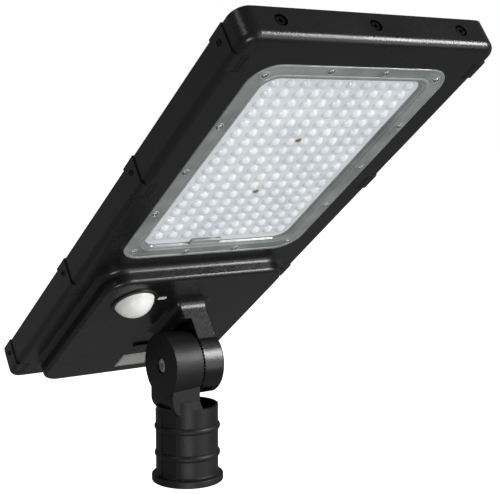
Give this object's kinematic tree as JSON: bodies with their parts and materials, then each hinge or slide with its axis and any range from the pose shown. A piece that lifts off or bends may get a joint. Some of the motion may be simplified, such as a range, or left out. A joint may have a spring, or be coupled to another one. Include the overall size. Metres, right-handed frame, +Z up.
{
  "type": "solar street lamp",
  "caption": "All-in-one solar street lamp: flat panel head with LED lens plate, battery box, motion sensor and a toothed tilt knuckle on a pole-top socket.",
  "frame": {"origin": "centre of the mouth of the pole socket, where the pole enters", "axes": "+Z up along the pole, X along the hinge axis of the knuckle, the lamp head's LED end points to -Y"},
  "size_m": [0.28, 0.5138, 0.4839],
  "materials": {
    "housing_black": "die-cast aluminium with a black fine-textured powder coat",
    "socket_black": "die-cast aluminium with a black powder coat",
    "panel_glass": "low-iron tempered glass",
    "solar_cell": "blue-black monocrystalline cells with silver busbars",
    "backsheet_white": "white polymer sheet",
    "seal_rubber": "black silicone rubber",
    "junction_black": "black moulded plastic",
    "clip_black": "black painted pressed steel",
    "screw_steel": "stainless steel",
    "bolt_steel": "zinc-plated steel",
    "strap_steel": "plain sheet steel",
    "lens_clear": "clear moulded polycarbonate",
    "led_board_white": "white solder mask",
    "led_phosphor": "yellow phosphor on a white package",
    "cell_wrap": "metal can in a blue film sleeve",
    "holder_black": "black moulded plastic",
    "card_green": "green solder mask",
    "component_dark": "dark moulded cases",
    "terminal_green": "green moulded plastic",
    "sensor_can": "plated steel can",
    "pir_white": "milky white polyethylene",
    "bezel_black": "black moulded plastic",
    "indicator_clear": "frosted clear plastic",
    "label_silver": "satin foil plate",
    "lead_red": "red insulation",
    "lead_black": "black insulation"
  },
  "bodies": {
    "pole_mount": {"pole_socket": "socket_black", "pivot_bolt": "bolt_steel", "pivot_nut": "bolt_steel", "bolt_washer": "bolt_steel", "nut_washer": "bolt_steel", "set_screws": "screw_steel"},
    "lamp_head": {"battery_cell_1": "cell_wrap", "battery_cell_10": "cell_wrap", "battery_cell_11": "cell_wrap", "battery_cell_12": "cell_wrap", "battery_cell_2": "cell_wrap", "battery_cell_3": "cell_wrap", "battery_cell_4": "cell_wrap", "battery_cell_5": "cell_wrap", "battery_cell_6": "cell_wrap", "battery_cell_7": "cell_wrap", "battery_cell_8": "cell_wrap", "battery_cell_9": "cell_wrap", "battery_holder_front": "holder_black", "battery_holder_rear": "holder_black", "battery_lead": "lead_red", "battery_strap_1": "strap_steel", "battery_strap_2": "strap_steel", "clip_left_1": "clip_black", "clip_left_2": "clip_black", "clip_left_3": "clip_black", "clip_left_4": "clip_black", "clip_right_1": "clip_black", "clip_right_2": "clip_black", "clip_right_3": "clip_black", "clip_right_4": "clip_black", "clip_screws": "screw_steel", "controller_board": "card_green", "controller_screws": "screw_steel", "end_screws": "screw_steel", "housing": "housing_black", "indicator_window": "indicator_clear", "led_board": "led_board_white", "led_board_screws": "screw_steel", "led_chips": "led_phosphor", "led_grommet": "seal_rubber", "led_lead": "lead_black", "lens_cover": "lens_clear", "lens_gasket": "seal_rubber", "lens_screws": "screw_steel", "panel_backsheet": "backsheet_white", "panel_gasket": "seal_rubber", "panel_glass": "panel_glass", "panel_junction_box": "junction_black", "panel_lead": "lead_black", "pir_bezel": "bezel_black", "pir_lens": "pir_white", "pir_sensor": "sensor_can", "power_components": "component_dark", "rating_label": "label_silver", "sensor_board": "card_green", "solar_cells": "solar_cell", "strap_screws": "screw_steel", "terminal_block": "terminal_green"}
  },
  "joints": [
    {"name": "head_tilt", "type": "hinge", "parent": "pole_mount", "child": "lamp_head", "pos_m": [0, 0, 0.131], "axis": [-1, 0, 0], "range_deg": [-36, 54]}
  ]
}
